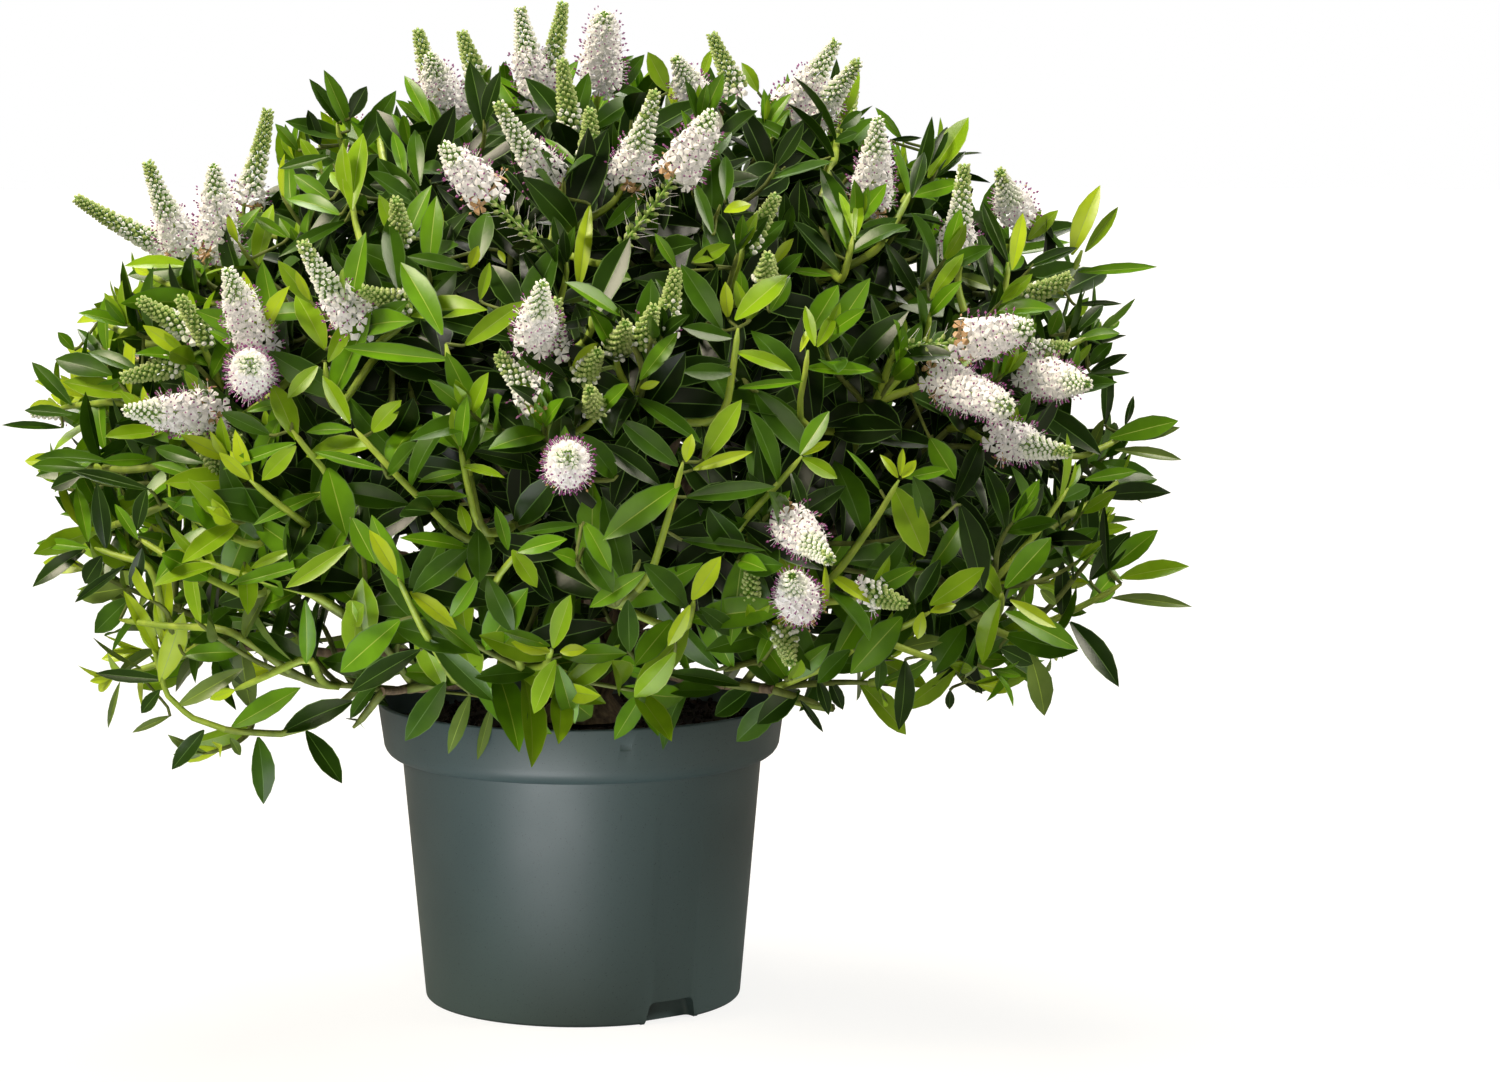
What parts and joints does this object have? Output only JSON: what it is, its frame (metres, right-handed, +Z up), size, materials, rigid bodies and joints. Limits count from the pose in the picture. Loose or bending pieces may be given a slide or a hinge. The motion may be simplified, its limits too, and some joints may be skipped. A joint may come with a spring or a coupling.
{
  "type": "hebe shrub in a pot",
  "caption": "Broad rounded evergreen hebe shrub with flower spikes, standing in a round tapered grower's pot with a deep collar.",
  "frame": {"origin": "middle of the pot's flat underside, on the surface that the plant stands on", "axes": "+Z up, -Y the plant's front, +X to the right as seen from the front"},
  "size_m": [0.6825, 0.6511, 0.5549],
  "materials": {
    "pot": "slate green-grey moulded plastic, satin",
    "soil": "damp dark potting compost, rough",
    "bark": "ringed brown to yellow-green stems, matte",
    "foliage": "glossy green leaves with white flower spikes"
  },
  "bodies": {
    "root": {"pot": "pot", "soil": "soil", "trunk": "bark", "bough_01": "bark", "foliage_01": "foliage", "bough_02": "bark", "foliage_02": "foliage", "bough_03": "bark", "foliage_03": "foliage", "bough_04": "bark", "foliage_04": "foliage", "bough_05": "bark", "foliage_05": "foliage", "bough_06": "bark", "foliage_06": "foliage", "bough_07": "bark", "foliage_07": "foliage", "bough_08": "bark", "foliage_08": "foliage", "bough_09": "bark", "foliage_09": "foliage", "bough_10": "bark", "foliage_10": "foliage", "bough_11": "bark", "foliage_11": "foliage", "bough_12": "bark", "foliage_12": "foliage", "bough_13": "bark", "foliage_13": "foliage", "bough_14": "bark", "foliage_14": "foliage", "bough_15": "bark", "foliage_15": "foliage", "bough_16": "bark", "foliage_16": "foliage", "bough_17": "bark", "foliage_17": "foliage", "bough_18": "bark", "foliage_18": "foliage", "bough_19": "bark", "foliage_19": "foliage"}
  },
  "joints": []
}
